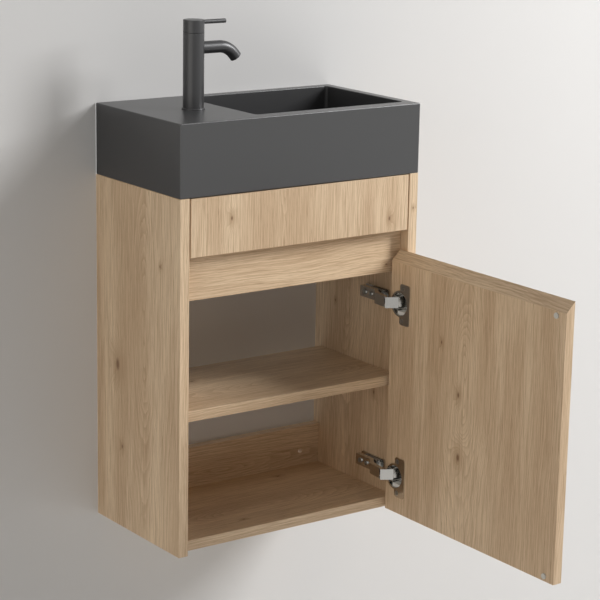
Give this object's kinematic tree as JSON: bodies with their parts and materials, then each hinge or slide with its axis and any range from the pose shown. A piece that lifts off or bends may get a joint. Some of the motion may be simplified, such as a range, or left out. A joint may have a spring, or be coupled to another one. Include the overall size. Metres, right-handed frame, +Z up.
{
  "type": "wall-hung vanity unit",
  "caption": "Wall-hung cloakroom vanity unit: oak cabinet with an inset hinged door and a shelf, a dark block basin, a pillar tap with a side lever and a push-open waste.",
  "frame": {"origin": "on the wall, midway between the upper rail's wall screws, at their height", "axes": "+X to the right of someone facing the unit, +Y into the wall, +Z up"},
  "size_m": [0.4, 0.5751, 0.722],
  "materials": {
    "oak_veneer": "oak veneer, matt lacquer",
    "beech": "plain beech",
    "zinc_plated_steel": "zinc plated",
    "nickel_plated_steel": "bright nickel plated",
    "white_nylon": "moulded",
    "clear_rubber": "clear",
    "dark_cast_stone": "cast mineral, satin",
    "gunmetal": "satin gunmetal",
    "black_nylon": "moulded",
    "grey_nylon": "moulded",
    "brass": "turned",
    "black_rubber": "moulded",
    "valve_ceramic": "ground"
  },
  "bodies": {
    "cabinet": {"side_panel_left": "oak_veneer", "side_panel_right": "oak_veneer", "bottom_panel": "oak_veneer", "grip_rail": "oak_veneer", "back_rail_upper": "oak_veneer", "back_rail_lower": "oak_veneer", "carcass_dowels": "beech", "cam_bolts": "zinc_plated_steel", "cam_locks": "zinc_plated_steel", "shelf": "oak_veneer", "shelf_pins": "zinc_plated_steel", "front_panel": "oak_veneer", "front_panel_pads": "clear_rubber", "front_panel_screws": "zinc_plated_steel", "upper_hinge_arm": "nickel_plated_steel", "upper_hinge_plate": "nickel_plated_steel", "upper_hinge_arm_pins": "nickel_plated_steel", "lower_hinge_arm": "nickel_plated_steel", "lower_hinge_plate": "nickel_plated_steel", "lower_hinge_arm_pins": "nickel_plated_steel", "hinge_plate_screws": "zinc_plated_steel", "hinge_arm_screws": "zinc_plated_steel", "basin": "dark_cast_stone", "waste_body": "gunmetal", "waste_seal": "black_rubber", "waste_nut": "black_nylon", "waste_latch": "brass", "tap_base_ring": "gunmetal", "tap_body": "gunmetal", "tap_tail": "brass", "tap_seat_seal": "black_rubber", "tap_cartridge": "brass", "tap_disc_fixed": "valve_ceramic", "tap_spout": "gunmetal", "tap_aerator": "grey_nylon", "tap_washer": "black_rubber", "tap_nut": "brass"},
    "door": {"door": "oak_veneer", "door_buffers": "clear_rubber", "upper_hinge_cup": "nickel_plated_steel", "lower_hinge_cup": "nickel_plated_steel", "upper_hinge_damper": "white_nylon", "lower_hinge_damper": "white_nylon", "hinge_cup_pins": "nickel_plated_steel", "hinge_cup_screws": "zinc_plated_steel"},
    "upper_outer_link": {"upper_hinge_outer_link": "nickel_plated_steel"},
    "upper_inner_link": {"upper_hinge_inner_link": "nickel_plated_steel"},
    "lower_outer_link": {"lower_hinge_outer_link": "nickel_plated_steel"},
    "lower_inner_link": {"lower_hinge_inner_link": "nickel_plated_steel"},
    "tap_handle": {"tap_cap": "gunmetal", "tap_lever": "gunmetal", "tap_spindle": "brass", "tap_disc_turning": "valve_ceramic"},
    "waste_plug": {"waste_plug": "gunmetal"}
  },
  "joints": [
    {"name": "door_swing", "type": "hinge", "parent": "cabinet", "child": "door", "pos_m": [0.1763, -0.2158, -0.2605], "axis": [0, 0, 1], "range_deg": [-90, 5]},
    {"name": "upper_outer_link_turn", "type": "hinge", "parent": "cabinet", "child": "upper_outer_link", "pos_m": [0.155, -0.2116, -0.1405], "axis": [0, 0, 1], "range_deg": [-2.21, 38.87]},
    {"name": "upper_inner_link_turn", "type": "hinge", "parent": "cabinet", "child": "upper_inner_link", "pos_m": [0.1586, -0.2065, -0.1405], "axis": [0, 0, 1], "range_deg": [-2.83, 50.1]},
    {"name": "lower_outer_link_turn", "type": "hinge", "parent": "cabinet", "child": "lower_outer_link", "pos_m": [0.155, -0.2116, -0.3995], "axis": [0, 0, 1], "range_deg": [-2.21, 38.87]},
    {"name": "lower_inner_link_turn", "type": "hinge", "parent": "cabinet", "child": "lower_inner_link", "pos_m": [0.1586, -0.2065, -0.3995], "axis": [0, 0, 1], "range_deg": [-2.83, 50.1]},
    {"name": "tap_handle_turn", "type": "hinge", "parent": "cabinet", "child": "tap_handle", "pos_m": [-0.114, -0.1165, 0.25], "axis": [0, 0, 1], "range_deg": [0, 90]},
    {"name": "waste_plug_push", "type": "slide", "parent": "cabinet", "child": "waste_plug", "axis": [0, 0, 1], "range_m": [-0.007, 0]}
  ],
  "couplings": [
    {"joint": "upper_outer_link_turn", "follows": "door_swing", "ratio": -0.43136},
    {"joint": "upper_inner_link_turn", "follows": "door_swing", "ratio": -0.55616},
    {"joint": "lower_outer_link_turn", "follows": "door_swing", "ratio": -0.43136},
    {"joint": "lower_inner_link_turn", "follows": "door_swing", "ratio": -0.55616}
  ]
}
